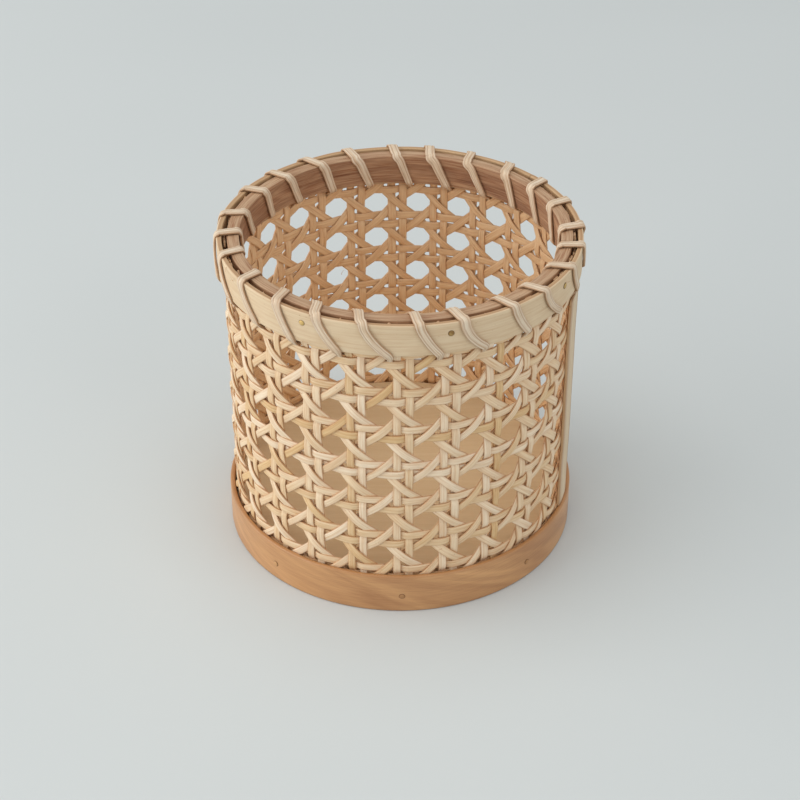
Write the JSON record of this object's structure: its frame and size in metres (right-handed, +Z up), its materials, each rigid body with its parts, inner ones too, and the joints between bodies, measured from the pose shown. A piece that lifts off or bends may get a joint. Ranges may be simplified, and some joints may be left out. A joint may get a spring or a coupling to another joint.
{
  "type": "open cane basket",
  "caption": "Small round open-topped holder with a wall of woven cane webbing on a banded wooden base, its bent hoop rim bound with split-cane lashing.",
  "frame": {"origin": "middle of the underside of the base, on the surface that it stands on", "axes": "+Z up along the basket's axis; -Y is the front; the seam slat is on the +X side"},
  "size_m": [0.1076, 0.1076, 0.0999],
  "materials": {
    "floor_wood": "bare sanded wood, tan",
    "band_wood": "satin bent wood with wavy orange-tan grain",
    "brown_wood": "satin bent wood, brown",
    "pale_cane": "pale split cane with fine long fibres",
    "cane_webbing": "glossy cane bark outside, cream to honey",
    "lashing_cane": "grey-beige split cane with ridges along it",
    "dark_nails": "dull brown-grey nail heads",
    "brass_nails": "worn brass nail heads"
  },
  "bodies": {
    "root": {"base_disc": "floor_wood", "base_band": "band_wood", "base_nails": "dark_nails", "inner_hoop": "brown_wood", "outer_hoop": "pale_cane", "rim_nails": "brass_nails", "rim_lashing": "lashing_cane", "seam_slat": "pale_cane", "diagonals_rising_right": "cane_webbing", "diagonals_rising_left": "cane_webbing", "ring_pair_1": "cane_webbing", "ring_pair_2": "cane_webbing", "ring_pair_3": "cane_webbing", "ring_pair_4": "cane_webbing", "ring_pair_5": "cane_webbing", "ring_pair_6": "cane_webbing", "ring_pair_7": "cane_webbing", "upright_pair_01": "cane_webbing", "upright_pair_02": "cane_webbing", "upright_pair_03": "cane_webbing", "upright_pair_04": "cane_webbing", "upright_pair_05": "cane_webbing", "upright_pair_06": "cane_webbing", "upright_pair_07": "cane_webbing", "upright_pair_08": "cane_webbing", "upright_pair_09": "cane_webbing", "upright_pair_10": "cane_webbing", "upright_pair_11": "cane_webbing", "upright_pair_12": "cane_webbing", "upright_pair_13": "cane_webbing", "upright_pair_14": "cane_webbing", "upright_pair_15": "cane_webbing", "upright_pair_16": "cane_webbing", "upright_pair_17": "cane_webbing", "upright_pair_18": "cane_webbing", "upright_pair_19": "cane_webbing", "upright_pair_20": "cane_webbing", "upright_pair_21": "cane_webbing", "upright_pair_22": "cane_webbing", "upright_pair_23": "cane_webbing", "upright_pair_24": "cane_webbing"}
  },
  "joints": []
}
